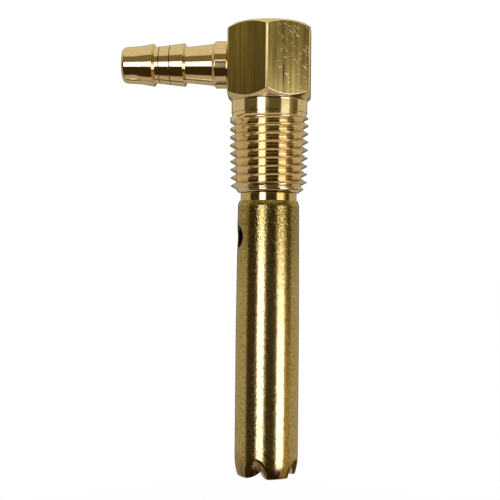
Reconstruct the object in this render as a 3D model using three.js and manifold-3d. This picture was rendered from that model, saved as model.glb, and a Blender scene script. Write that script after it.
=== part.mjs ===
// Screw-in brass gas torch head: a hexagonal elbow with a hose barb and a male pipe thread, and a burner tube.
// Millimetres, +Z up. The burner's mouth points down and the hose barb points along -X.
// The origin is on the burner's axis, at the small lower end of the pipe thread.
import * as THREE from "three";
import { mergeVertices } from "three/addons/utils/BufferGeometryUtils.js";
import Module from "manifold-3d";

const wasm = await Module();
wasm.setup();

const DEGREE = Math.PI / 180;
const TURN = 2 * Math.PI;

// Clearance that stands for a press fit, and the step by which a cutter passes a face.
const FIT_GAP = 0.05;
const PAST = 1;

// Hexagon bar, 9/16 inch across its flats, with a corner towards -Y.
const ACROSS_FLATS = 14.29;
const HEX_CORNER_RADIUS = ACROSS_FLATS / 2 / Math.cos(30 * DEGREE);
const HEX_BOTTOM = 16.0;
const HEX_TOP = 29.2;
const HEX_TOP_FACE_RADIUS = 6.7;
const HEX_TOP_CHAMFER = 35 * DEGREE;
const HEX_BOTTOM_CHAMFER = 40 * DEGREE;

// Neck between the hexagon and the thread, and the short band where the thread runs out.
const NECK_RADIUS = 6.64;
const NECK_BOTTOM = 13.87;
const RUNOUT_RADIUS = 6.52;
const RUNOUT_BOTTOM = 13.25;

// Male pipe thread, 1/4-18 NPT: 60 degree V, radius growing by 1 in 32, cut on a 13.72 mm bar.
const THREAD_PITCH = 25.4 / 18;
const THREAD_HEIGHT = 0.76 * THREAD_PITCH;
const THREAD_TAPER = 1 / 32;
const THREAD_SMALL_END_RADIUS = 6.628;
const THREAD_BAR_RADIUS = 6.86;
const THREAD_ROOT_HALF_FLAT = 0.027;
const THREAD_FLANK = 30 * DEGREE;
const THREAD_NOSE_RADIUS = 5.22;
const THREAD_NOSE_LENGTH = 1.0;
const THREAD_TOP = 13.05;
const GROOVE_HEIGHT_AT_PLUS_X = 1.156;
const GROOVE_FIRST_TURN = -2;
const GROOVE_LAST_TURN = 8.5;
const GROOVE_FADE_TURNS = 0.5;
const THREAD_STEPS = 24;

// Gas passages.
const BARB_HEIGHT = 22.5;
const BARB_BORE_RADIUS = 2.1;
const UPRIGHT_BORE_RADIUS = 2.5;
const DRILL_POINT = 31 * DEGREE;
const SHANK_BORE_RADIUS = 3.6;
const SHANK_BORE_TOP = 9.6;
const SIDE_BORE_RADIUS = 3.55;
const SIDE_BORE_END = 2.9;

// Hose barb, as distances from the burner's axis. Each ridge is a cone that falls away towards the tip.
const BARB_SHANK_END = 3.0;
const BARB_COLLAR_START = ACROSS_FLATS / 2 + 0.02;
const BARB_COLLAR_RADIUS = 4.13;
const BARB_COLLAR_END = 9.41;
const BARB_TIP = 25.9;
const BARB_TIP_RADIUS = 2.85;
const BARB_MOUTH_CHAMFER = 0.15;

// Nipple: a shank in the body, then a neck and spigot of one diameter.
const SPIGOT_RADIUS = 4.9;
const SPIGOT_END = -5.0;
const NIPPLE_TOP = 9.3;
const NIPPLE_BORE_RADIUS = 1.7;
const JET_SEAT_RADIUS = 2.1;
const JET_SEAT_TOP = -1.6;

// Jet insert with its orifice.
const JET_TOP = -1.65;
const JET_NOSE_RADIUS = 1.2;
const JET_NOSE_END = -5.6;
const JET_BORE_RADIUS = 1.1;
const JET_ORIFICE_RADIUS = 0.28;
const JET_ORIFICE_LENGTH = 0.8;

// Burner tube, 1 7/8 inch long. It grows a little from its top to the middle.
const TUBE_TOP = -1.4;
const TUBE_MOUTH = -49.2;
const TUBE_WALL = 0.5;
const TUBE_BORE_TOP_RADIUS = SPIGOT_RADIUS + FIT_GAP;
const TUBE_TOP_RADIUS = 5.375;
const TUBE_TOP_EDGE_RADIUS = 5.07;
const TUBE_TOP_EDGE_HEIGHT = 0.73;
const TUBE_RADIUS = 5.55;
const TUBE_FULL_RADIUS_AT = -24;
const TUBE_SEGMENTS = 72;

// One round air hole, its angle counted from -Y towards +X.
const AIR_HOLE_RADIUS = 2.05;
const AIR_HOLE_HEIGHT = -7.7;
const AIR_HOLE_ANGLE = -73 * DEGREE;

// Mouth: the wall rolls inwards over the last few millimetres, and four V-shaped crimps push it further in.
const ROLL_HEIGHT = 3.2;
const ROLL_DEPTH = 0.5;
const RIM_ROUND = 0.2;
const CRIMPS = 4;
const CRIMP_FIRST_ANGLE = -16 * DEGREE;
const CRIMP_HEIGHT = 3.5;
const CRIMP_HALF_ANGLE = 23 * DEGREE;
const CRIMP_DEPTH = 1.95;
const CRIMP_LIFT = 0.85;
const CRIMP_LIFT_POWER = 1.75;
const CRIMP_EDGE_ROUND = 0.15;
const CRIMP_VALLEY_ROUND = 2 * DEGREE;
const MOUTH_ROWS = 9;

const BRASS_BAR = new THREE.MeshStandardMaterial({ color: 0xb89a4a, roughness: 0.34, metalness: 1 });
const BRASS_TURNED = new THREE.MeshStandardMaterial({ color: 0xd4b26a, roughness: 0.2, metalness: 1 });
const BRASS_TUBE = new THREE.MeshStandardMaterial({ color: 0xb5a04c, roughness: 0.26, metalness: 1 });

const point = (radius, height) => new THREE.Vector2(radius, height);

// Turns a profile of (radius, height) points about the Z axis.
function turned(profile, segments = 48, start = 0) {
  const geometry = new THREE.LatheGeometry(profile, segments, start);
  return geometry.rotateX(Math.PI / 2);
}

// A closed geometry as a solid that can be joined and cut.
function solid(geometry) {
  const bare = geometry.clone();
  bare.deleteAttribute("normal");
  bare.deleteAttribute("uv");
  const merged = mergeVertices(bare, 1e-4);
  const vertProperties = new Float32Array(merged.attributes.position.array);
  const triVerts = new Uint32Array(merged.index.array);
  return new wasm.Manifold(new wasm.Mesh({ numProp: 3, vertProperties, triVerts }));
}

// The geometry of a finished solid, with flat shading.
function geometryOf(shape) {
  const mesh = shape.getMesh();
  const geometry = new THREE.BufferGeometry();
  geometry.setAttribute("position", new THREE.BufferAttribute(new Float32Array(mesh.vertProperties), 3));
  geometry.setIndex(new THREE.BufferAttribute(new Uint32Array(mesh.triVerts), 1));
  const faceted = geometry.toNonIndexed();
  faceted.computeVertexNormals();
  return faceted;
}

function named(name, geometry, material) {
  const mesh = new THREE.Mesh(geometry, material);
  mesh.name = name;
  return mesh;
}

// A round rod from one distance to another along +X, for holes drilled from the side.
function rodAlongX(radius, from, to) {
  const geometry = new THREE.CylinderGeometry(radius, radius, to - from, 48);
  return geometry.rotateZ(Math.PI / 2).translate((from + to) / 2, 0, 0);
}

function hexagon() {
  const height = HEX_TOP - HEX_BOTTOM;
  const bar = new THREE.CylinderGeometry(HEX_CORNER_RADIUS, HEX_CORNER_RADIUS, height, 6);
  bar.rotateX(Math.PI / 2).translate(0, 0, (HEX_BOTTOM + HEX_TOP) / 2);
  const wide = HEX_CORNER_RADIUS + PAST;
  const chamfers = turned([
    point(0, HEX_BOTTOM),
    point(NECK_RADIUS, HEX_BOTTOM),
    point(wide, HEX_BOTTOM + (wide - NECK_RADIUS) * Math.tan(HEX_BOTTOM_CHAMFER)),
    point(wide, HEX_TOP - (wide - HEX_TOP_FACE_RADIUS) * Math.tan(HEX_TOP_CHAMFER)),
    point(HEX_TOP_FACE_RADIUS, HEX_TOP),
    point(0, HEX_TOP),
  ]);
  return solid(bar).intersect(solid(chamfers));
}

// The turned stem under the hexagon, before its thread is cut.
function stem() {
  const barReached = (THREAD_BAR_RADIUS - THREAD_SMALL_END_RADIUS) / THREAD_TAPER;
  return solid(turned([
    point(0, 0),
    point(THREAD_NOSE_RADIUS, 0),
    point(THREAD_SMALL_END_RADIUS + THREAD_NOSE_LENGTH * THREAD_TAPER, THREAD_NOSE_LENGTH),
    point(THREAD_BAR_RADIUS, barReached),
    point(THREAD_BAR_RADIUS, THREAD_TOP),
    point(RUNOUT_RADIUS, RUNOUT_BOTTOM),
    point(RUNOUT_RADIUS, NECK_BOTTOM),
    point(NECK_RADIUS, NECK_BOTTOM),
    point(NECK_RADIUS, HEX_BOTTOM + PAST),
    point(0, HEX_BOTTOM + PAST),
  ], THREAD_STEPS));
}

// The V groove of the thread: a straight bar of its section, bent along a right-hand helix.
// It leaves the stem sideways over its last part of a turn.
function threadGroove() {
  const reach = THREAD_HEIGHT + PAST / 2;
  const halfMouth = THREAD_ROOT_HALF_FLAT + reach * Math.tan(THREAD_FLANK);
  const section = new THREE.Shape([
    point(0, -THREAD_ROOT_HALF_FLAT),
    point(reach, -halfMouth),
    point(reach, halfMouth),
    point(0, THREAD_ROOT_HALF_FLAT),
  ]);
  const turns = GROOVE_LAST_TURN - GROOVE_FIRST_TURN;
  const steps = Math.round(turns * THREAD_STEPS);
  const geometry = new THREE.ExtrudeGeometry(section, { depth: turns, steps, bevelEnabled: false });
  const corner = geometry.attributes.position;
  for (let i = 0; i < corner.count; i += 1) {
    const turn = GROOVE_FIRST_TURN + corner.getZ(i);
    const middle = GROOVE_HEIGHT_AT_PLUS_X + turn * THREAD_PITCH;
    const root = THREAD_SMALL_END_RADIUS - THREAD_HEIGHT + middle * THREAD_TAPER;
    const fading = Math.max(0, (turn - GROOVE_LAST_TURN) / GROOVE_FADE_TURNS + 1);
    const radius = root + corner.getX(i) + fading * THREAD_HEIGHT;
    const angle = turn * TURN;
    corner.setXYZ(i, radius * Math.cos(angle), radius * Math.sin(angle), middle - corner.getY(i));
  }
  return solid(geometry);
}

// The blind passage from below, with the wider bore for the nipple's shank.
function uprightBore() {
  const passageTop = BARB_HEIGHT + UPRIGHT_BORE_RADIUS;
  return solid(turned([
    point(0, -PAST),
    point(SHANK_BORE_RADIUS, -PAST),
    point(SHANK_BORE_RADIUS, SHANK_BORE_TOP),
    point(UPRIGHT_BORE_RADIUS, SHANK_BORE_TOP + (SHANK_BORE_RADIUS - UPRIGHT_BORE_RADIUS) * Math.tan(DRILL_POINT)),
    point(UPRIGHT_BORE_RADIUS, passageTop),
    point(0, passageTop + UPRIGHT_BORE_RADIUS * Math.tan(DRILL_POINT)),
  ]));
}

function elbowBody() {
  const sideBore = rodAlongX(SIDE_BORE_RADIUS, -HEX_CORNER_RADIUS, -SIDE_BORE_END);
  const sidePassage = rodAlongX(BARB_BORE_RADIUS, -SIDE_BORE_END - PAST, 0);
  const shape = hexagon()
    .add(stem())
    .subtract(threadGroove())
    .subtract(uprightBore())
    .subtract(solid(sideBore.translate(0, 0, BARB_HEIGHT)))
    .subtract(solid(sidePassage.translate(0, 0, BARB_HEIGHT)));
  return named("elbow_body", geometryOf(shape), BRASS_BAR);
}

// The barb's profile runs along its own axis, as (radius, distance from the burner's axis).
function hoseBarb() {
  const shankRadius = SIDE_BORE_RADIUS - FIT_GAP;
  const stem = turned([
    point(BARB_BORE_RADIUS, BARB_SHANK_END),
    point(shankRadius - 0.2, BARB_SHANK_END),
    point(shankRadius, BARB_SHANK_END + 0.3),
    point(shankRadius, BARB_COLLAR_START),
    point(BARB_COLLAR_RADIUS, BARB_COLLAR_START),
    point(BARB_COLLAR_RADIUS, BARB_COLLAR_END),
    point(3.65, 9.8),
    point(3.135, 14.63),
    point(3.805, 14.95),
    point(3.175, 20.05),
    point(3.76, 20.41),
    point(3.31, 22.9),
    point(3.25, 24.4),
    point(3.17, 25.45),
    point(BARB_TIP_RADIUS, BARB_TIP),
    point(BARB_BORE_RADIUS + BARB_MOUTH_CHAMFER, BARB_TIP),
    point(BARB_BORE_RADIUS, BARB_TIP - BARB_MOUTH_CHAMFER),
    point(BARB_BORE_RADIUS, BARB_SHANK_END),
  ]);
  const barb = named("hose_barb", stem, BRASS_TURNED);
  barb.rotation.y = -Math.PI / 2;
  barb.position.z = BARB_HEIGHT;
  return barb;
}

function jetNipple() {
  const shankRadius = SHANK_BORE_RADIUS - FIT_GAP;
  const shape = turned([
    point(JET_SEAT_RADIUS, SPIGOT_END),
    point(SPIGOT_RADIUS - 0.3, SPIGOT_END),
    point(SPIGOT_RADIUS, SPIGOT_END + 0.3),
    point(SPIGOT_RADIUS, -0.02),
    point(shankRadius, -0.02),
    point(shankRadius, NIPPLE_TOP - 0.4),
    point(shankRadius - 0.4, NIPPLE_TOP),
    point(NIPPLE_BORE_RADIUS, NIPPLE_TOP),
    point(NIPPLE_BORE_RADIUS, JET_SEAT_TOP),
    point(JET_SEAT_RADIUS, JET_SEAT_TOP),
    point(JET_SEAT_RADIUS, SPIGOT_END),
  ]);
  return named("jet_nipple", shape, BRASS_TURNED);
}

function gasJet() {
  const radius = JET_SEAT_RADIUS - FIT_GAP;
  const orificeTop = JET_NOSE_END + JET_ORIFICE_LENGTH;
  const shape = turned([
    point(JET_ORIFICE_RADIUS, JET_NOSE_END),
    point(JET_NOSE_RADIUS - 0.3, JET_NOSE_END),
    point(JET_NOSE_RADIUS, JET_NOSE_END + 0.3),
    point(radius, SPIGOT_END + 0.5),
    point(radius, JET_TOP),
    point(JET_BORE_RADIUS, JET_TOP),
    point(JET_BORE_RADIUS, orificeTop + 0.6),
    point(JET_ORIFICE_RADIUS, orificeTop),
    point(JET_ORIFICE_RADIUS, JET_NOSE_END),
  ], 24);
  return named("gas_jet", shape, BRASS_TURNED);
}

// Outer radius of the rolled mouth, at a height above the rim.
const rolledRadius = (above) => TUBE_RADIUS - ROLL_DEPTH * (1 - above / ROLL_HEIGHT) ** 2;

// The wall's outer profile upwards from the rim, then its inner profile back down.
function tubeProfile() {
  const rows = Array.from({ length: MOUTH_ROWS + 1 }, (_, i) => CRIMP_HEIGHT * (i / MOUTH_ROWS) ** 1.2);
  const rolled = rows.filter((above) => above > RIM_ROUND && above < ROLL_HEIGHT);
  const outer = rolled.map((above) => point(rolledRadius(above), TUBE_MOUTH + above));
  const inner = rolled.map((above) => point(rolledRadius(above) - TUBE_WALL, TUBE_MOUTH + above)).reverse();
  return [
    point(rolledRadius(0) - TUBE_WALL, TUBE_MOUTH + RIM_ROUND / 2),
    point(rolledRadius(0) - TUBE_WALL / 2, TUBE_MOUTH),
    point(rolledRadius(0) - RIM_ROUND / 2, TUBE_MOUTH + RIM_ROUND / 4),
    ...outer,
    point(TUBE_RADIUS, TUBE_MOUTH + CRIMP_HEIGHT),
    point(TUBE_RADIUS, TUBE_FULL_RADIUS_AT),
    point(TUBE_TOP_RADIUS, TUBE_TOP - TUBE_TOP_EDGE_HEIGHT),
    point(TUBE_TOP_EDGE_RADIUS, TUBE_TOP),
    point(TUBE_BORE_TOP_RADIUS, TUBE_TOP),
    point(TUBE_BORE_TOP_RADIUS, SPIGOT_END),
    point(TUBE_RADIUS - TUBE_WALL, TUBE_FULL_RADIUS_AT),
    point(TUBE_RADIUS - TUBE_WALL, TUBE_MOUTH + CRIMP_HEIGHT),
    ...inner,
    point(rolledRadius(0) - TUBE_WALL, TUBE_MOUTH + RIM_ROUND / 2),
  ];
}

// How far a point of the wall is pushed into a crimp: 1 at the rim's deepest point, 0 outside the crimp.
function crimpShare(angle, above) {
  const apart = TURN / CRIMPS;
  const fromCrimp = angle - CRIMP_FIRST_ANGLE - apart * Math.round((angle - CRIMP_FIRST_ANGLE) / apart);
  const low = Math.max(0, 1 - above / CRIMP_HEIGHT);
  const halfAngle = CRIMP_HALF_ANGLE * Math.sqrt(Math.max(0, 1 - (above / CRIMP_HEIGHT) ** 2));
  const rounded = Math.hypot(fromCrimp, CRIMP_VALLEY_ROUND) - CRIMP_VALLEY_ROUND;
  const inside = Math.max(0, 1 - rounded / (halfAngle + 1e-6));
  const edge = inside < CRIMP_EDGE_ROUND ? inside ** 2 / (2 * CRIMP_EDGE_ROUND) : inside - CRIMP_EDGE_ROUND / 2;
  return (low * edge) / (1 - CRIMP_EDGE_ROUND / 2);
}

function burnerTube() {
  // The lathe starts at -Y, so the seams of its segments fall on the middle of each crimp.
  const wall = turned(tubeProfile(), TUBE_SEGMENTS, CRIMP_FIRST_ANGLE);
  const corner = wall.attributes.position;
  for (let i = 0; i < corner.count; i += 1) {
    const angle = Math.atan2(corner.getX(i), -corner.getY(i));
    const radius = Math.hypot(corner.getX(i), corner.getY(i));
    const share = crimpShare(angle, corner.getZ(i) - TUBE_MOUTH);
    const pushed = (radius - share * CRIMP_DEPTH) / radius;
    const lift = share ** CRIMP_LIFT_POWER * CRIMP_LIFT;
    corner.setXYZ(i, corner.getX(i) * pushed, corner.getY(i) * pushed, corner.getZ(i) + lift);
  }
  const hole = rodAlongX(AIR_HOLE_RADIUS, PAST, TUBE_RADIUS + PAST);
  hole.rotateZ(AIR_HOLE_ANGLE - Math.PI / 2).translate(0, 0, AIR_HOLE_HEIGHT);
  return named("burner_tube", geometryOf(solid(wall).subtract(solid(hole))), BRASS_TUBE);
}

const torch = new THREE.Group();
torch.add(elbowBody(), hoseBarb(), jetNipple(), gasJet(), burnerTube());

export default torch;
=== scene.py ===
"""Brass lampwork torch head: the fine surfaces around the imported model, in metres, in its frame.

+Z runs from the burner's mouth up to the hexagon and the hose barb points along -X.
Angles round the burner's axis are counted from -Y towards +X.
"""
import math

import bmesh
import bpy
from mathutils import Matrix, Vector


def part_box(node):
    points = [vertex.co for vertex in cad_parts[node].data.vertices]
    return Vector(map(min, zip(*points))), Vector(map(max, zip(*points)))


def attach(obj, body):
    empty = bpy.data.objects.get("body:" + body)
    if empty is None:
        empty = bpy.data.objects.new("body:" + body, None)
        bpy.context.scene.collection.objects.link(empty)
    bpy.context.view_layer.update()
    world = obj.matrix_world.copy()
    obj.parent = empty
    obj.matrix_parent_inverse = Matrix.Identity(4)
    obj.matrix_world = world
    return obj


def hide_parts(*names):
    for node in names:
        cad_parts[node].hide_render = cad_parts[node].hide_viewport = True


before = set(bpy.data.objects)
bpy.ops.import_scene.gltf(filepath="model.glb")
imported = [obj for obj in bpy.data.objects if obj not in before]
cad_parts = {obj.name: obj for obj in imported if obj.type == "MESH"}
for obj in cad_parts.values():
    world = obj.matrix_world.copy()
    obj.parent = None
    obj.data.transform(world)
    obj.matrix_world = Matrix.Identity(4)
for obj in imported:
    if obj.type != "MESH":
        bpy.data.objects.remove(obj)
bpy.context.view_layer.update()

MM = 0.001
WELD = 1e-6
TURN = 2 * math.pi
ROUND_STEPS = 192
CORNER_STEPS = 4
CORNER_SHARE = 0.4
HOLD = 0.012 * MM

_, body_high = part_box("elbow_body")
barb_low, barb_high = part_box("hose_barb")
tube_low, tube_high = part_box("burner_tube")
nipple_low, nipple_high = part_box("jet_nipple")
jet_low, jet_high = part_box("gas_jet")

# Hexagon and neck.
HEX_APOTHEM = body_high.x
HEX_TOP = body_high.z
HEX_BOTTOM = 16.0 * MM
HEX_LAND_RADIUS = 8.13 * MM
HEX_TOP_FACE_RADIUS = 6.7 * MM
HEX_TOP_CHAMFER = math.radians(35)
HEX_BOTTOM_CHAMFER = math.radians(40)
FLAT_STEPS = 24
FLAT_HALF_TURN = math.radians(30)
NECK_RADIUS = 6.64 * MM
NECK_BOTTOM = 13.87 * MM
NECK_FILLET = 0.22 * MM
RUNOUT_RADIUS = 6.52 * MM
RUNOUT_TOP = NECK_BOTTOM - 0.05 * MM
RUNOUT_BOTTOM = 13.25 * MM

# Male pipe thread: 60 degree V, 18 to the inch, radius growing by 1 in 32.
PITCH = 25.4 / 18 * MM
THREAD_HEIGHT = 0.78 * PITCH
THREAD_TAPER = 1 / 32
THREAD_SMALL_END_RADIUS = 6.628 * MM
THREAD_BAR_RADIUS = 6.86 * MM
THREAD_ROOT_HALF_FLAT = 0.027 * MM
THREAD_SLOPE = math.tan(math.radians(30))
THREAD_NOSE_RADIUS = 5.22 * MM
THREAD_NOSE_LENGTH = 1.0 * MM
THREAD_TOP = 13.05 * MM
THREAD_BOTTOM = 0.06 * MM
GROOVE_HEIGHT_AT_PLUS_X = 1.156 * MM
GROOVE_NUMBERS = range(9, -3, -1)
GROOVE_LAST_TURN = 8.5
GROOVE_FADE_TURNS = 0.5

# Passages in the body.
SHANK_BORE_RADIUS = 3.6 * MM
SHANK_BORE_TOP = 9.6 * MM
SHANK_BORE_CHAMFER = 0.25 * MM
UPRIGHT_BORE_RADIUS = 2.5 * MM
SIDE_BORE_RADIUS = 3.55 * MM
SIDE_BORE_END = 2.9 * MM
SIDE_BORE_CUTTER_END = 2 * tube_high.x
DRILL_POINT = math.tan(math.radians(31))

# Hose barb.
BARB_HEIGHT = (barb_low.z + barb_high.z) / 2
BARB_TIP = -barb_low.x
BARB_SHANK_END = -barb_high.x
BARB_COLLAR_RADIUS = (barb_high.z - barb_low.z) / 2
BARB_BORE_RADIUS = 2.1 * MM
TOOL_MARKS = (17.4 * MM, 19.3 * MM)
TOOL_MARK_DEPTH = 0.11 * MM
TOOL_MARK_HALF_WIDTH = 0.09 * MM
FIT_GAP = 0.05 * MM

# Burner tube.
TUBE_WALL = 0.5 * MM
TUBE_RADIUS = tube_high.x
TUBE_TOP = tube_high.z
TUBE_MOUTH = tube_low.z
TUBE_STEPS = 288
TUBE_TOP_RADIUS = 5.375 * MM
TUBE_FULL_HEIGHT = -24 * MM
MOUTH_ROWS = 34
MIDDLE_ROWS = 24
HOLE_HALF_ROWS = 12
AIR_HOLE_RADIUS = 2.05 * MM
AIR_HOLE_HEIGHT = -7.7 * MM
AIR_HOLE_ANGLE = math.radians(-73)
HOLE_PATCH = AIR_HOLE_RADIUS + 0.9 * MM
HOLE_EDGE = 0.06 * MM
ROLL_HEIGHT = 3.2 * MM
ROLL_DEPTH = 0.5 * MM
CRIMPS = 4
CRIMP_FIRST_ANGLE = math.radians(-16)
CRIMP_HEIGHT = 3.5 * MM
CRIMP_HALF_ANGLE = math.radians(23)
CRIMP_DEPTH = 1.95 * MM
CRIMP_LIFT = 0.85 * MM
CRIMP_LIFT_POWER = 1.75
CRIMP_EDGE_ROUND = 0.12
CRIMP_VALLEY_ROUND = math.radians(1.6)

# Camera: level with the middle of the torch, a little to the right of square on to the barb.
CAMERA_ANGLE = math.radians(4.6)
CAMERA_DISTANCE = 184 * MM
CAMERA_SIDESTEP = -3.17 * MM
CAMERA_ROLL = math.radians(0.55)
CAMERA_LENS = 75.6

# How far the floor is below the mouth.
FLOOR_GAP = 14 * MM


# ---------------------------------------------------------------- mesh building

def around(radius, angle, height):
    """A point at a radius and an angle round the burner's axis."""
    return Vector((radius * math.sin(angle), -radius * math.cos(angle), height))


def soften(corners):
    """The path through a profile's (radius, height) corners. A corner given as (radius, height, cut) becomes
    a small curve that starts that far before it, held on both sides by a close point."""
    points = [Vector(c[:2]) for c in corners]
    path = []
    for i, corner in enumerate(corners):
        here = points[i]
        cut = corner[2] if len(corner) > 2 else 0
        if not cut or i in (0, len(corners) - 1):
            path.append(here)
            continue
        back, on = points[i - 1] - here, points[i + 1] - here
        cut = min(cut, CORNER_SHARE * back.length, CORNER_SHARE * on.length)
        start, end = here + back.normalized() * cut, here + on.normalized() * cut
        path.append(start + back.normalized() * min(HOLD, cut))
        for k in range(CORNER_STEPS + 1):
            s = k / CORNER_STEPS
            path.append(start.lerp(here, s).lerp(here.lerp(end, s), s))
        path.append(end + on.normalized() * min(HOLD, cut))
    return path


def finished(name, mesh_builder, materials):
    """Welds what meets, turns all faces outwards and makes the named smooth object."""
    bmesh.ops.remove_doubles(mesh_builder, verts=mesh_builder.verts, dist=WELD)
    bmesh.ops.dissolve_degenerate(mesh_builder, edges=mesh_builder.edges, dist=WELD / 10)
    bmesh.ops.recalc_face_normals(mesh_builder, faces=mesh_builder.faces)
    for face in mesh_builder.faces:
        face.smooth = True
    mesh = bpy.data.meshes.new(name)
    mesh_builder.to_mesh(mesh)
    mesh_builder.free()
    for material in materials:
        mesh.materials.append(material)
    piece = bpy.data.objects.new(name, mesh)
    bpy.context.scene.collection.objects.link(piece)
    return piece


def add_grid(mesh_builder, columns, material_at=lambda column, row: 0, keep=lambda column, row: True):
    """Faces between neighbouring columns of points. Returns the vertices, column by column."""
    grid = [[mesh_builder.verts.new(p) for p in column] for column in columns]
    for i, (here, after) in enumerate(zip(grid, grid[1:])):
        for j in range(len(here) - 1):
            if keep(i, j):
                face = mesh_builder.faces.new((here[j], after[j], after[j + 1], here[j + 1]))
                face.material_index = material_at(i, j)
    return grid


def turned(name, profile, materials, place=around):
    """A profile of (radius, height) points turned about an axis."""
    builder = bmesh.new()
    angles = [TURN * i / ROUND_STEPS for i in range(ROUND_STEPS + 1)]
    add_grid(builder, [[place(p.x, angle, p.y) for p in profile] for angle in angles])
    return finished(name, builder, materials)


def cut_away(piece, cutter):
    """Takes the cutter's solid out of the piece, and removes the cutter."""
    cut = piece.modifiers.new("cut", "BOOLEAN")
    cut.operation, cut.object, cut.solver = "DIFFERENCE", cutter, "EXACT"
    depsgraph = bpy.context.evaluated_depsgraph_get()
    mesh = bpy.data.meshes.new_from_object(piece.evaluated_get(depsgraph))
    piece.modifiers.clear()
    piece.data = mesh
    bpy.data.objects.remove(cutter)


# ---------------------------------------------------------------- the body

def bar_angles():
    """Angles of the body's columns, close together where a flat of the hexagon meets its corner, and a
    function that tells whether the faces after a column are on a corner."""
    land = math.acos(HEX_APOTHEM / HEX_LAND_RADIUS)
    half_land = FLAT_HALF_TURN - land
    edge = math.radians(0.2)
    to_corner = [-half_land - edge, -half_land, -half_land + edge]
    corner = [*to_corner, 0, *(-a for a in reversed(to_corner))]
    flat = [-land + edge + (2 * land - 2 * edge) * k / FLAT_STEPS for k in range(1, FLAT_STEPS)]
    side = corner + [FLAT_HALF_TURN + a for a in flat]
    angles = [2 * FLAT_HALF_TURN * n + a for n in range(6) for a in side] + [TURN + corner[0]]
    return angles, lambda column: column % len(side) < len(corner) - 1


def bar_radius(angle):
    """Radius of the hexagon bar, whose corners are worn to a narrow land."""
    from_flat = (angle % (2 * FLAT_HALF_TURN)) - FLAT_HALF_TURN
    return min(HEX_APOTHEM / math.cos(from_flat), HEX_LAND_RADIUS)


def stem_radius(height):
    """Radius of the threaded stem before the thread is cut."""
    nose_end = THREAD_SMALL_END_RADIUS + THREAD_NOSE_LENGTH * THREAD_TAPER
    nose = THREAD_NOSE_RADIUS + (nose_end - THREAD_NOSE_RADIUS) * height / THREAD_NOSE_LENGTH
    return min(nose, THREAD_SMALL_END_RADIUS + height * THREAD_TAPER, THREAD_BAR_RADIUS)


def groove_middle(turn):
    """Height of the middle of the thread's groove, a number of turns after it first passes +X."""
    return GROOVE_HEIGHT_AT_PLUS_X + turn * PITCH


def root_radius(turn):
    """Radius at the bottom of the groove, which leaves the stem over its last part of a turn."""
    fading = max(0, (turn - GROOVE_LAST_TURN) / GROOVE_FADE_TURNS + 1)
    root = THREAD_SMALL_END_RADIUS - THREAD_HEIGHT + groove_middle(turn) * THREAD_TAPER
    return root + fading * THREAD_HEIGHT


def thread_radius(angle, height):
    """Radius of the stem with the thread cut into it."""
    part = (angle - math.pi / 2) / TURN
    turn = round((height - GROOVE_HEIGHT_AT_PLUS_X) / PITCH - part) + part
    beside = max(0, abs(height - groove_middle(turn)) - THREAD_ROOT_HALF_FLAT)
    return min(stem_radius(height), root_radius(turn) + beside / THREAD_SLOPE)


def thread_rows(angle):
    """The thread's profile at one angle, downwards, with rows on its crests and roots."""
    rows = []
    part = (angle - math.pi / 2) / TURN
    for number in GROOVE_NUMBERS:
        turn = number + part
        middle = groove_middle(turn)
        outside = stem_radius(min(max(middle, THREAD_NOSE_LENGTH), THREAD_TOP))
        mouth = THREAD_ROOT_HALF_FLAT + max(0, outside - root_radius(turn)) * THREAD_SLOPE
        mouth = min(mouth, PITCH / 2 - HOLD)
        shares = (1, 0.94, 0.5, 0.06, 0)
        flank = [THREAD_ROOT_HALF_FLAT + (mouth - THREAD_ROOT_HALF_FLAT) * s for s in shares]
        for offset in [PITCH / 2, *flank, 0, *(-f for f in reversed(flank))]:
            height = min(max(middle + offset, THREAD_BOTTOM), THREAD_TOP)
            rows.append(Vector((thread_radius(angle, height), height)))
    return rows


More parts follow.
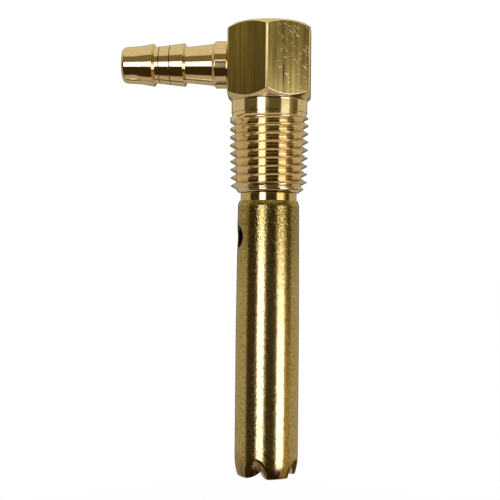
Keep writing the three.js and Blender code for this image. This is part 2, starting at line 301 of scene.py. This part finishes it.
def elbow_body(drawn, threaded, bright):
    """Hexagon, neck and thread as columns from the middle of the top, down the outside and up the bore."""
    # The head has one plain point, seven softened corners and one more plain point before the thread.
    corner = CORNER_STEPS + 3
    flat_row = 2 * corner
    thread_start = 2 + 7 * corner
    thread_end = thread_start + len(thread_rows(0))
    worn, sharp, hidden = 0.07 * MM, 0.03 * MM, 0.05 * MM

    def column(angle):
        reach = bar_radius(angle)
        shoulder = HEX_TOP - (reach - HEX_TOP_FACE_RADIUS) * math.tan(HEX_TOP_CHAMFER)
        foot = HEX_BOTTOM + (reach - NECK_RADIUS) * math.tan(HEX_BOTTOM_CHAMFER)
        head = soften([
            (0, HEX_TOP),
            (HEX_TOP_FACE_RADIUS, HEX_TOP, 0.08 * MM),
            (reach, shoulder, worn),
            (reach, foot, worn),
            (NECK_RADIUS, HEX_BOTTOM, NECK_FILLET),
            (NECK_RADIUS, NECK_BOTTOM, 0.05 * MM),
            (RUNOUT_RADIUS, RUNOUT_TOP, 0.04 * MM),
            (RUNOUT_RADIUS, RUNOUT_BOTTOM, sharp),
            (THREAD_BAR_RADIUS, THREAD_TOP),
        ])
        bore = soften([
            (stem_radius(THREAD_BOTTOM), THREAD_BOTTOM),
            (THREAD_NOSE_RADIUS, 0, sharp),
            (SHANK_BORE_RADIUS + SHANK_BORE_CHAMFER, 0, hidden),
            (SHANK_BORE_RADIUS, SHANK_BORE_CHAMFER, hidden),
            (SHANK_BORE_RADIUS, SHANK_BORE_TOP),
            (UPRIGHT_BORE_RADIUS, SHANK_BORE_TOP + (SHANK_BORE_RADIUS - UPRIGHT_BORE_RADIUS) * DRILL_POINT),
            (UPRIGHT_BORE_RADIUS, BARB_HEIGHT + UPRIGHT_BORE_RADIUS),
            (0, BARB_HEIGHT + UPRIGHT_BORE_RADIUS * (1 + DRILL_POINT)),
        ])
        return [around(p.x, angle, p.y) for p in [*head, *thread_rows(angle), *bore]]

    def material_at(column, row):
        # A flat's own row of faces has a narrow row above it and another below.
        if abs(row - flat_row) < 2 and not on_corner(column):
            return 0
        return 1 if thread_start <= row < thread_end else 2

    builder = bmesh.new()
    angles, on_corner = bar_angles()
    add_grid(builder, [column(angle) for angle in angles], material_at)
    body = finished("torch_body", builder, [drawn, threaded, bright])
    side_bore = [
        Vector((0, SIDE_BORE_CUTTER_END)),
        Vector((SIDE_BORE_RADIUS, SIDE_BORE_CUTTER_END)),
        Vector((SIDE_BORE_RADIUS, SIDE_BORE_END)),
        Vector((BARB_BORE_RADIUS, SIDE_BORE_END)),
        Vector((BARB_BORE_RADIUS, 0)),
        Vector((0, 0)),
    ]
    cut_away(body, turned("side_bore", side_bore, [bright], place=along_barb))
    return body


# ---------------------------------------------------------------- barb, nipple and jet

def along_barb(radius, angle, distance):
    """A point round the barb's axis, at a distance from the burner's axis."""
    return Vector((-distance, radius * math.sin(angle), BARB_HEIGHT + radius * math.cos(angle)))


def tool_mark(start, end, distance):
    """Three profile points of a fine groove in a cone that runs between two (radius, distance) points."""
    points = []
    for along, depth in ((-1, 0), (0, TOOL_MARK_DEPTH), (1, 0)):
        here = distance + along * TOOL_MARK_HALF_WIDTH
        on_cone = start[0] + (end[0] - start[0]) / (end[1] - start[1]) * (here - start[1])
        points.append((on_cone - depth, here, 0.02 * MM))
    return points


def hose_barb(material):
    """Shank in the body, collar, stem, two ridges and the rounded tip, then back through the bore."""
    shank = SIDE_BORE_RADIUS - FIT_GAP
    sharp, eased, collar_chamfer = 0.05 * MM, 0.12 * MM, 0.14 * MM
    collar_start = HEX_APOTHEM + 0.02 * MM
    second_ridge = (3.805 * MM, 14.95 * MM, sharp)
    second_root = (3.175 * MM, 20.05 * MM, eased)
    profile = soften([
        (BARB_BORE_RADIUS, BARB_SHANK_END),
        (shank - 0.2 * MM, BARB_SHANK_END, sharp),
        (shank, BARB_SHANK_END + 0.3 * MM, sharp),
        (shank, collar_start, sharp),
        (BARB_COLLAR_RADIUS - collar_chamfer, collar_start, sharp),
        (BARB_COLLAR_RADIUS, collar_start + collar_chamfer, sharp),
        (BARB_COLLAR_RADIUS, 9.41 * MM, eased),
        (3.65 * MM, 9.8 * MM, eased),
        (3.135 * MM, 14.63 * MM, eased),
        second_ridge,
        *(point for mark in TOOL_MARKS for point in tool_mark(second_ridge, second_root, mark)),
        second_root,
        (3.76 * MM, 20.41 * MM, sharp),
        (3.31 * MM, 22.9 * MM, 0.9 * MM),
        (3.25 * MM, 24.4 * MM, 0.5 * MM),
        (3.17 * MM, 25.45 * MM, 0.2 * MM),
        (2.85 * MM, BARB_TIP, eased),
        (BARB_BORE_RADIUS + 0.15 * MM, BARB_TIP, sharp),
        (BARB_BORE_RADIUS, BARB_TIP - 0.15 * MM, sharp),
        (BARB_BORE_RADIUS, BARB_SHANK_END),
    ])
    return turned("torch_hose_barb", profile, [material], place=along_barb)


def jet_nipple(material):
    """Seat for the jet, spigot for the tube, the neck that shows and the shank in the body."""
    shank = SHANK_BORE_RADIUS - FIT_GAP
    spigot = nipple_high.x
    seat, bore, edge = 2.1 * MM, 1.7 * MM, 0.05 * MM
    seat_top, neck_top = -1.6 * MM, -0.02 * MM
    spigot_chamfer, neck_chamfer, shank_chamfer = 0.3 * MM, 0.12 * MM, 0.4 * MM
    profile = soften([
        (seat, nipple_low.z),
        (spigot - spigot_chamfer, nipple_low.z, edge),
        (spigot, nipple_low.z + spigot_chamfer, edge),
        (spigot, neck_top - neck_chamfer, edge),
        (spigot - neck_chamfer, neck_top, edge),
        (shank, neck_top, edge),
        (shank, nipple_high.z - shank_chamfer, edge),
        (shank - shank_chamfer, nipple_high.z, edge),
        (bore, nipple_high.z, edge),
        (bore, seat_top, edge),
        (seat, seat_top, edge),
        (seat, nipple_low.z),
    ])
    return turned("torch_nipple", profile, [material])


def gas_jet(material):
    """Nose with the fine orifice, then the wider bore behind it."""
    orifice, bore, nose, edge = 0.28 * MM, 1.1 * MM, 1.2 * MM, 0.06 * MM
    orifice_top = jet_low.z + 0.8 * MM
    nose_chamfer, nose_end, bore_cone = 0.3 * MM, nipple_low.z + 0.5 * MM, 0.6 * MM
    profile = soften([
        (orifice, jet_low.z),
        (nose - nose_chamfer, jet_low.z, edge),
        (nose, jet_low.z + nose_chamfer, edge),
        (jet_high.x, nose_end, edge),
        (jet_high.x, jet_high.z, edge),
        (bore, jet_high.z, edge),
        (bore, orifice_top + bore_cone, edge),
        (orifice, orifice_top, edge),
        (orifice, jet_low.z),
    ])
    return turned("torch_gas_jet", profile, [material])


# ---------------------------------------------------------------- the burner tube

def rolled_in(height):
    """How far the roll of the mouth has brought the wall in at a height."""
    above = (height - TUBE_MOUTH) / ROLL_HEIGHT
    return ROLL_DEPTH * max(0, 1 - above) ** 2


def crimp_share(angle, height):
    """How far a point of the wall is pushed into a crimp: 1 at the deepest point of the rim, 0 outside."""
    apart = TURN / CRIMPS
    beside = angle - CRIMP_FIRST_ANGLE
    beside -= apart * round(beside / apart)
    above = max(0, (height - TUBE_MOUTH) / CRIMP_HEIGHT)
    if above >= 1:
        return 0
    half_angle = CRIMP_HALF_ANGLE * math.sqrt(1 - above ** 2)
    rounded = math.hypot(beside, CRIMP_VALLEY_ROUND) - CRIMP_VALLEY_ROUND
    inside = max(0, 1 - rounded / half_angle)
    if inside < CRIMP_EDGE_ROUND:
        edge = inside ** 2 / (2 * CRIMP_EDGE_ROUND)
    else:
        edge = inside - CRIMP_EDGE_ROUND / 2
    return (1 - above) * edge / (1 - CRIMP_EDGE_ROUND / 2)


def tube_point(radius, angle, height):
    """A point of the wall, pushed in and lifted where a crimp is."""
    share = crimp_share(angle, height)
    return around(radius - share * CRIMP_DEPTH, angle, height + share ** CRIMP_LIFT_POWER * CRIMP_LIFT)


def tube_heights():
    """Heights of the wall's rows, upwards: close at the mouth and round the air hole."""
    above_lip, crimped = TUBE_MOUTH + 0.3 * MM, CRIMP_HEIGHT + 0.2 * MM
    mouth = [above_lip + crimped * k / MOUTH_ROWS for k in range(MOUTH_ROWS + 1)]
    start, end = mouth[-1], AIR_HOLE_HEIGHT - HOLE_PATCH
    middle = [start + (end - start) * k / MIDDLE_ROWS for k in range(1, MIDDLE_ROWS)]
    hole = [AIR_HOLE_HEIGHT + HOLE_PATCH * (k / HOLE_HALF_ROWS - 1) for k in range(2 * HOLE_HALF_ROWS + 1)]
    return mouth, middle, hole


def outer_radius(height):
    """The tube grows a little from its top to its middle, and rolls in at its mouth."""
    grown = min(1, max(0, (TUBE_TOP - height) / (TUBE_TOP - TUBE_FULL_HEIGHT)))
    return TUBE_TOP_RADIUS + (TUBE_RADIUS - TUBE_TOP_RADIUS) * grown - rolled_in(height)


def burner_tube(material):
    """The wall as columns round the tube, with the air hole's patch of faces put in afterwards."""
    mouth, middle, hole = tube_heights()
    heights = mouth + middle + hole
    bore_top = nipple_high.x + FIT_GAP
    rim = outer_radius(TUBE_MOUTH)
    top = soften([
        (outer_radius(heights[-1]), heights[-1]),
        (outer_radius(TUBE_TOP), TUBE_TOP - 0.73 * MM, 0.3 * MM),
        (5.09 * MM, TUBE_TOP, 0.05 * MM),
        (bore_top, TUBE_TOP, 0.05 * MM),
        (outer_radius(heights[-1]) - TUBE_WALL, heights[-1]),
    ])[1:-1]
    lip = soften([
        (outer_radius(heights[0]) - TUBE_WALL, heights[0]),
        (rim - TUBE_WALL, TUBE_MOUTH, 0.12 * MM),
        (rim, TUBE_MOUTH, 0.16 * MM),
        (outer_radius(heights[0]), heights[0]),
    ])[1:-1]
    outer = [Vector((outer_radius(h), h)) for h in heights]
    inner = [Vector((outer_radius(h) - TUBE_WALL, h)) for h in reversed(heights)]
    profile = [*outer, *top, *inner, *lip, outer[0]]

    # The air hole's patch of the grid, as columns and rows of the outer wall and rows of the inner wall.
    step = TURN / TUBE_STEPS
    angles = [CRIMP_FIRST_ANGLE + step * i for i in range(TUBE_STEPS + 1)]
    patch_columns = round(math.asin(HOLE_PATCH / TUBE_RADIUS) / step)
    middle_column = round((AIR_HOLE_ANGLE - CRIMP_FIRST_ANGLE) % TURN / step)
    first_column, last_column = middle_column - patch_columns, middle_column + patch_columns
    low_row, high_row = len(mouth) + len(middle), len(heights) - 1
    inner_start = len(outer) + len(top)
    inner_low, inner_high = inner_start, inner_start + high_row - low_row

    def outside_patch(column, row):
        in_columns = first_column <= column < last_column
        return not (in_columns and (low_row <= row < high_row or inner_low <= row < inner_high))

    builder = bmesh.new()
    columns = [[tube_point(p.x, angle, p.y) for p in profile] for angle in angles]
    grid = add_grid(builder, columns, keep=outside_patch)
    outer_ring = patch_ring(builder, grid, first_column, last_column, low_row, high_row, 0)
    inner_ring = patch_ring(builder, grid, first_column, last_column, inner_high, inner_low, TUBE_WALL)
    join_rings(builder, outer_ring, inner_ring)
    return finished("torch_burner_tube", builder, [material])


def patch_ring(builder, grid, first, last, low, high, depth):
    """Fills a square of missing faces in the wall with rings that close on the round hole. The depth is 0
    for the outside of the wall and the wall's thickness for its inside. Returns the last ring."""
    up = 1 if high > low else -1
    border = [grid[i][low] for i in range(first, last)]
    border += [grid[last][j] for j in range(low, high, up)]
    border += [grid[i][high] for i in range(last, first, -1)]
    border += [grid[first][j] for j in range(high, low, -up)]
    across = Vector((math.cos(AIR_HOLE_ANGLE), math.sin(AIR_HOLE_ANGLE), 0))
    outwards = around(1, AIR_HOLE_ANGLE, 0)
    wall = outer_radius(AIR_HOLE_HEIGHT) - depth
    # Each ring has its share of the way from the square to the circle, the circle's radius and its sink.
    part = 0.3 * HOLE_EDGE
    rings = [(s, AIR_HOLE_RADIUS + HOLE_EDGE, 0) for s in (0.3, 0.6, 0.85, 0.97, 1)]
    rings += [(1, AIR_HOLE_RADIUS + part, part), (1, AIR_HOLE_RADIUS, HOLE_EDGE)]
    previous = border
    for share, radius, sink in rings:
        ring = []
        for vertex in border:
            side, rise = vertex.co.dot(across), vertex.co.z - AIR_HOLE_HEIGHT
            spread = math.hypot(side, rise)
            side += (side / spread * radius - side) * share
            rise += (rise / spread * radius - rise) * share
            out = math.sqrt(wall ** 2 - side ** 2) + (sink if depth else -sink)
            height = Vector((0, 0, AIR_HOLE_HEIGHT + rise))
            ring.append(builder.verts.new(across * side + outwards * out + height))
        join_rings(builder, previous, ring)
        previous = ring
    return previous


def join_rings(builder, one, other):
    """Faces between two closed rings with the same number of vertices."""
    for k in range(len(one)):
        after = (k + 1) % len(one)
        builder.faces.new((one[k], one[after], other[after], other[k]))


# ---------------------------------------------------------------- materials

def add_node(tree, kind, inputs, settings):
    """Adds a node. An input is either another node's output or a value."""
    made = tree.nodes.new(kind)
    for key, value in settings.items():
        setattr(made, key, value)
    for key, value in (inputs or {}).items():
        feed(tree, made.inputs[key], value)
    return made


def feed(tree, socket, value):
    if isinstance(value, bpy.types.NodeSocket):
        tree.links.new(value, socket)
    else:
        socket.default_value = value


def opaque(colour):
    """A red, green and blue triple as a node's colour. Anything else stays as it is."""
    return (*colour, 1) if isinstance(colour, tuple) else colour


class Brass:
    """A procedural brass. Its texture space is the torch's own frame, in millimetres."""

    def __init__(self, name):
        self.material = bpy.data.materials.new(name)
        self.material.use_nodes = True
        self.tree = self.material.node_tree
        self.shader = self.tree.nodes["Principled BSDF"]
        self.shader.inputs["Metallic"].default_value = 1
        in_metres = self.node("ShaderNodeTexCoord").outputs["Object"]
        self.place = self.stretched(in_metres, (1 / MM,) * 3)

    def node(self, kind, inputs=None, **settings):
        return add_node(self.tree, kind, inputs, settings)

    def stretched(self, vector, scale, rotation=(0, 0, 0)):
        inputs = {"Vector": vector, "Scale": scale, "Rotation": rotation}
        return self.node("ShaderNodeMapping", inputs).outputs[0]

    def parts(self, vector):
        """The vector's three coordinates."""
        return self.node("ShaderNodeSeparateXYZ", {0: vector}).outputs

    def noise(self, scale, stretch=(1, 1, 1), detail=3.0, place=None):
        vector = self.stretched(place or self.place, stretch)
        inputs = {"Vector": vector, "Scale": scale, "Detail": detail}
        return self.node("ShaderNodeTexNoise", inputs).outputs["Fac"]

    def sum(self, *values):
        total = values[0]
        for value in values[1:]:
            total = self.node("ShaderNodeMath", {0: total, 1: value}, operation="ADD").outputs[0]
        return total

    def times(self, a, b):
        return self.node("ShaderNodeMath", {0: a, 1: b}, operation="MULTIPLY").outputs[0]

    def between(self, value, low, high, to_low=0.0, to_high=1.0):
        """Runs smoothly from to_low to to_high while the value goes from low to high."""
        inputs = {"Value": value, "From Min": low, "From Max": high, "To Min": to_low, "To Max": to_high}
        return self.node("ShaderNodeMapRange", inputs, interpolation_type="SMOOTHSTEP").outputs[0]

    def mix(self, share, a, b):
        inputs = {0: share, 6: opaque(a), 7: opaque(b)}
        return self.node("ShaderNodeMix", inputs, data_type="RGBA").outputs[2]

    def flat(self, half_turn):
        """The texture space turned to a flat of the hexagon, and a mask that is 1 on that flat."""
        turned_place = self.stretched(self.place, (1, 1, 1), rotation=(0, 0, half_turn))
        outwards = self.parts(turned_place)[1]
        face = -HEX_APOTHEM / MM
        return turned_place, self.between(outwards, face + 0.12, face + 0.06)

    def finish(self, colour, roughness, *bumps):
        """Each bump is (height value, strength, distance in millimetres)."""
        feed(self.tree, self.shader.inputs["Base Color"], colour)
        feed(self.tree, self.shader.inputs["Roughness"], roughness)
        normal = None
        for value, strength, distance in bumps:
            inputs = {"Height": value, "Strength": strength, "Distance": distance * MM}
            if normal:
                inputs["Normal"] = normal
            normal = self.node("ShaderNodeBump", inputs).outputs[0]
        if normal:
            feed(self.tree, self.shader.inputs["Normal"], normal)
        return self.material


def polished_tube_brass():
    """Polished and finely grained, mottled towards its top and darkened there with painted shade, heat
    stained at its mouth, and with painted shade and a painted highlight on the front crimp.
    """
    brass = Brass("brass_tube_polished")
    height = brass.parts(brass.place)[2]
    blotches = brass.noise(0.55, detail=4)
    stains = brass.noise(2.6, detail=3)
    mottle = brass.noise(2.4, detail=4)
    grain = brass.noise(4.6, detail=1)
    speckle = brass.noise(6.0, detail=2)
    top = brass.between(height, -19, -4)
    mouth = brass.between(height, -43.5, -48.5)
    colour = brass.mix(brass.between(blotches, 0.35, 0.7), (0.76, 0.66, 0.26), (0.82, 0.64, 0.27))
    colour = brass.mix(brass.between(stains, 0.48, 0.62, 0, 0.8), colour, (0.58, 0.37, 0.11))
    colour = brass.mix(brass.between(speckle, 0.52, 0.66, 0, 0.75), colour, (0.38, 0.30, 0.08))
    # Towards its top the tube is mottled, and darkened there as painted shade that dims its highlights.
    top_mottle_and_painted_shade = brass.times(top, brass.between(mottle, 0.38, 0.56, 0.3, 0.95))
    colour = brass.mix(top_mottle_and_painted_shade, colour, (0.30, 0.23, 0.05))

    # The front crimp has painted shade on the left of its valley and a painted highlight on the right.
    turned_to_crimp = brass.stretched(brass.place, (1, 1, 0), rotation=(0, 0, -CRIMP_FIRST_ANGLE))
    beside_crimp = brass.parts(turned_to_crimp)[0]
    length = brass.node("ShaderNodeVectorMath", {0: turned_to_crimp}, operation="LENGTH")
    from_axis = length.outputs["Value"]
    pressed_in = brass.times(brass.between(from_axis, 4.8, 4.5), brass.between(height, -43.5, -45))
    painted_shade_left_of_crimp = brass.times(pressed_in, brass.between(beside_crimp, 0.1, -0.1))
    painted_highlight_right_of_crimp = brass.times(pressed_in, brass.between(beside_crimp, -0.1, 0.1))
    tint = brass.times(mouth, brass.between(blotches, 0.3, 0.7, 0.4, 0.95))
    tint = brass.times(tint, brass.between(beside_crimp, 5.0, 4.0))
    colour = brass.mix(tint, colour, (0.32, 0.17, 0.08))
    # Painted shade left of the crimp's valley, then a painted highlight right of it.
    colour = brass.mix(painted_shade_left_of_crimp, colour, (0.13, 0.07, 0.03))
    colour = brass.mix(painted_highlight_right_of_crimp, colour, (0.84, 0.80, 0.66))
    roughness = brass.between(grain, 0.36, 0.68, 0.12, 0.24)
    unevenness = brass.times(grain, brass.sum(brass.times(top, 1.2), 0.5))
    return brass.finish(colour, roughness, (unevenness, 0.5, 0.034))


def drawn_bar_brass():
    """Streaked along the bar. Only the two front flats have marks of their own, and painted shade."""
    brass = Brass("brass_bar_drawn")
    streaks = brass.noise(2.2, stretch=(1, 1, 0.02), detail=5)
    fine = brass.noise(6.5, stretch=(1, 1, 0.03), detail=3)
    blotches = brass.noise(0.35, stretch=(1, 1, 0.5), detail=3)
    colour = brass.mix(brass.between(streaks, 0.35, 0.65), (0.49, 0.40, 0.14), (0.79, 0.65, 0.24))
    colour = brass.mix(brass.between(blotches, 0.4, 0.7, 0, 0.35), colour, (0.50, 0.36, 0.12))

    # The flat to the left of the front corner is darker beside it: painted shade.
    on_left, left_flat = brass.flat(FLAT_HALF_TURN)
    across_left = brass.parts(on_left)[0]
    painted_shade_on_flat = brass.times(brass.between(across_left, -0.5, 2.0, 0, 0.6), left_flat)
    colour = brass.mix(painted_shade_on_flat, colour, (0.38, 0.30, 0.12))

    # The flat to its right is darker towards one edge, as painted shade, and has handling scratches and one
    # deep scratch.
    on_right, right_flat = brass.flat(-FLAT_HALF_TURN)
    across, _, height = brass.parts(on_right)
    painted_shade_on_flat = brass.times(brass.between(across, 2.2, 2.6, 0, 0.55), right_flat)
    scratches = handling_scratches(brass, on_right)
    scratches = brass.times(scratches, brass.times(right_flat, brass.between(across, -2.4, -1.2)))
    deep = brass.times(deep_scratch(brass, across, height), right_flat)
    # Painted shade towards the right flat's edge.
    colour = brass.mix(painted_shade_on_flat, colour, (0.42, 0.27, 0.08))
    colour = brass.mix(scratches, colour, (0.97, 0.90, 0.66))
    colour = brass.mix(deep, colour, (0.07, 0.045, 0.02))
    roughness = brass.sum(brass.between(fine, 0.3, 0.7, 0.10, 0.17), brass.times(scratches, 0.12))
    return brass.finish(colour, roughness, (streaks, 0.4, 0.08), (fine, 0.3, 0.03), (scratches, 1.0, 0.008))


def handling_scratches(brass, on_flat):
    """Short thin strokes that lean three ways: the peaks of stretched noise."""
    strokes = []
    for lean in (-0.55, -0.8, 0.2):
        leaning = brass.stretched(on_flat, (1, 1, 1), rotation=(0, lean, 0))
        peaks = brass.noise(1.0, stretch=(0.65, 1, 5.5), detail=0, place=leaning)
        strokes.append(brass.between(peaks, 0.765, 0.79))
    return brass.sum(*strokes)


def deep_scratch(brass, across, height):
    """One upright line that starts sharply at its top and fades towards the bottom of the flat."""
    width = brass.times(brass.between(across, -1.06, -1.02), brass.between(across, -0.80, -0.84))
    length = brass.times(brass.between(height, 17.2, 19.4, 0.3, 1), brass.between(height, 21.6, 21.4))
    return brass.times(width, length)


def turned_brass(name, colour_a, colour_b, ring_stretch, roughness, tool_marks=()):
    """Bright turned brass. ring_stretch is large along the axis that the rings are spaced on. The tool
    marks are brown lines round the barb, at these distances from the burner's axis."""
    brass = Brass(name)
    rings = brass.noise(1.0, stretch=ring_stretch, detail=5)
    stain = brass.noise(0.6, detail=4)
    specks = brass.noise(5.0, detail=2)
    colour = brass.mix(brass.between(stain, 0.35, 0.7), colour_a, colour_b)
    colour = brass.mix(brass.between(rings, 0.55, 0.8, 0, 0.35), colour, (0.55, 0.34, 0.12))
    colour = brass.mix(brass.between(specks, 0.58, 0.72, 0, 0.6), colour, (0.45, 0.28, 0.10))
    along = brass.parts(brass.place)[0]
    for distance in tool_marks:
        middle = -distance / MM
        left = brass.between(along, middle - 0.13, middle - 0.05)
        right = brass.between(along, middle + 0.13, middle + 0.05)
        colour = brass.mix(brass.times(brass.times(left, right), 0.85), colour, (0.34, 0.18, 0.06))
    rough = brass.between(rings, 0.3, 0.7, roughness * 0.8, roughness * 1.3)
    return brass.finish(colour, rough, (rings, 0.15, 0.02))


# ---------------------------------------------------------------- studio

WHITE_SURROUND = (1.06, 1.06, 1.06)
ROOM = (0.43, 0.38, 0.29)
SOFT_BOX = (3.7, 3.7, 5.0)
BEHIND_TABLE = (0.11, 0.075, 0.035)
EVERYWHERE = 400

# Each area is its left, right, low and high edge in degrees from the camera's side, how soft its edge is
# in degrees, and its brightness. A later area covers the ones before it.
ROOM_AREAS = [
    # Walls, ceiling and table top.
    (-EVERYWHERE, EVERYWHERE, 4, 100, 4, (0.60, 0.53, 0.42)),
    (-EVERYWHERE, EVERYWHERE, 46, 100, 8, (0.74, 0.68, 0.54)),
    (-EVERYWHERE, EVERYWHERE, -100, -40, 8, (0.52, 0.44, 0.37)),
    # The backdrop behind the torch is dark at the torch's own height.
    (152, EVERYWHERE, -18, 18, 4, (0.20, 0.18, 0.16)),
    (-EVERYWHERE, -152, -18, 18, 4, (0.20, 0.18, 0.16)),
    # Below: dark behind, with two pale patches for the cone under the hexagon, then the two sides.
    (134, EVERYWHERE, -88, -57, 3, BEHIND_TABLE),
    (-EVERYWHERE, -134, -88, -57, 3, BEHIND_TABLE),
    (-155, -131, -77.5, -67, 3, (1.2, 1.2, 1.25)),
    (-128, -82, -60, -18, 4, (0.34, 0.32, 0.27)),
    (56, 138, -58, -18, 4, (0.085, 0.05, 0.028)),
    (126, 150, -71, -57, 3, (1.3, 1.3, 1.35)),
    # Right of the right soft box: a brown band, and a dark one above it.
    (60, 90, -60, 8, 3, (0.40, 0.30, 0.12)),
    (72, 93, -4, 40, 4, (0.06, 0.04, 0.014)),
    # The dark front, and above it what shows in the two front flats of the hexagon.
    (-82, 60, -66, 44, 3, (0.040, 0.026, 0.008)),
    (-82, 90, 8, 42, 3, (0.20, 0.155, 0.07)),
    (28, 80, 8, 22, 4, (0.19, 0.15, 0.075)),
    # The light in the front corner of the hexagon, the dim edge of the left soft box, and the soft boxes.
    (-14, -3, 9.5, 15, 2, (1.3, 1.2, 1.0)),
    (-18, -8.5, -22, 1, 2, (0.32, 0.28, 0.2)),
    (-36.5, -15, -14.5, 8.4, 3, SOFT_BOX),
    (35.5, 61, -24, 6.5, 3.5, SOFT_BOX),
    # The top of the right soft box is dimmer, and dimmest where the tube's top third shows it.
    (35.5, 62, -2, 7.9, 0.7, (1.6, 1.45, 1.2)),
    (35.5, 62, -2, 2.2, 0.7, (0.85, 0.78, 0.6)),
]


def studio_world():
    """White to the camera and to the floor. In the brass it is a pale room with a dark front, two soft
    boxes and the reflections of the table and of the walls."""
    world = bpy.data.worlds.new("studio")
    bpy.context.scene.world = world
    world.use_nodes = True
    tree = world.node_tree

    def node(kind, inputs=None, **settings):
        return add_node(tree, kind, inputs, settings)

    def arithmetic(operation, *values):
        return node("ShaderNodeMath", dict(enumerate(values)), operation=operation).outputs[0]

    def step(value, edge, soft):
        inputs = {"Value": value, "From Min": edge - soft, "From Max": edge + soft}
        return node("ShaderNodeMapRange", inputs, interpolation_type="SMOOTHSTEP").outputs[0]

    def between(value, low, high, soft):
        return arithmetic("SUBTRACT", step(value, low, soft), step(value, high, soft))

    turned_room = node("ShaderNodeMapping", {
        "Vector": node("ShaderNodeTexCoord").outputs["Generated"],
        "Rotation": (0, 0, -CAMERA_ANGLE),
    })
    x, y, z = node("ShaderNodeSeparateXYZ", {0: turned_room.outputs[0]}).outputs
    degree = math.pi / 180
    across = arithmetic("DIVIDE", arithmetic("ARCTAN2", x, arithmetic("MULTIPLY", y, -1.0)), degree)
    up = arithmetic("DIVIDE", arithmetic("ARCSINE", z), degree)

    room = opaque(ROOM)
    for left, right, low, high, soft, brightness in ROOM_AREAS:
        share = arithmetic("MULTIPLY", between(across, left, right, soft), between(up, low, high, soft))
        inputs = {0: share, 6: room, 7: opaque(brightness)}
        room = node("ShaderNodeMix", inputs, data_type="RGBA").outputs[2]
    in_brass = node("ShaderNodeLightPath").outputs["Is Glossy Ray"]
    inputs = {0: in_brass, 6: opaque(WHITE_SURROUND), 7: room}
    seen = node("ShaderNodeMix", inputs, data_type="RGBA").outputs[2]
    feed(tree, tree.nodes["Background"].inputs["Color"], seen)


def floor():
    """A pale matt floor a little below the mouth, which the brass doesn't show."""
    material = bpy.data.materials.new("pale_floor")
    material.use_nodes = True
    shader = material.node_tree.nodes["Principled BSDF"]
    shader.inputs["Base Color"].default_value = (0.96, 0.96, 0.96, 1)
    shader.inputs["Roughness"].default_value = 0.9
    shader.inputs["Specular IOR Level"].default_value = 0
    side, below = 2.0, TUBE_MOUTH - FLOOR_GAP
    mesh = bpy.data.meshes.new("pale_floor")
    corners = [(-side, -side, below), (side, -side, below), (side, side, below), (-side, side, below)]
    mesh.from_pydata(corners, [], [(0, 1, 2, 3)])
    mesh.materials.append(material)
    sheet = bpy.data.objects.new("pale_floor", mesh)
    sheet.visible_glossy = False
    bpy.context.scene.collection.objects.link(sheet)


def camera():
    """Looks level at the middle of the torch's height."""
    data = bpy.data.cameras.new("camera")
    data.lens = CAMERA_LENS
    data.clip_start = 5 * MM
    viewer = bpy.data.objects.new("camera", data)
    bpy.context.scene.collection.objects.link(viewer)
    bpy.context.scene.camera = viewer
    back = Vector((math.sin(CAMERA_ANGLE), -math.cos(CAMERA_ANGLE), 0))
    right = Vector((math.cos(CAMERA_ANGLE), math.sin(CAMERA_ANGLE), 0))
    middle = (body_high.z + tube_low.z) / 2
    viewer.location = back * CAMERA_DISTANCE + right * CAMERA_SIDESTEP + Vector((0, 0, middle))
    viewer.rotation_euler = (-back).to_track_quat("-Z", "Y").to_euler()
    viewer.rotation_euler.rotate_axis("Z", CAMERA_ROLL)


# ---------------------------------------------------------------- the torch

camera()
studio_world()
floor()
bpy.context.scene.view_settings.view_transform = "Standard"

AROUND_UPRIGHT, AROUND_BARB = (2, 2, 14), (14, 1, 1)
drawn = drawn_bar_brass()
threaded = turned_brass("brass_thread", (0.92, 0.80, 0.54), (0.88, 0.74, 0.46), AROUND_UPRIGHT, 0.07)
bright = turned_brass("brass_neck", (0.88, 0.73, 0.42), (0.84, 0.68, 0.34), AROUND_UPRIGHT, 0.07)
barbed = turned_brass("brass_barb", (0.88, 0.71, 0.40), (0.84, 0.66, 0.34), AROUND_BARB, 0.07, TOOL_MARKS)
necked = turned_brass("brass_nipple", (0.82, 0.68, 0.30), (0.78, 0.62, 0.26), AROUND_UPRIGHT, 0.10)
jetted = turned_brass("brass_jet", (0.80, 0.62, 0.26), (0.72, 0.54, 0.20), AROUND_UPRIGHT, 0.25)

pieces = {
    "elbow_body": elbow_body(drawn, threaded, bright),
    "hose_barb": hose_barb(barbed),
    "jet_nipple": jet_nipple(necked),
    "gas_jet": gas_jet(jetted),
    "burner_tube": burner_tube(polished_tube_brass()),
}
for node_name, piece in pieces.items():
    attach(piece, "root")
    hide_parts(node_name)
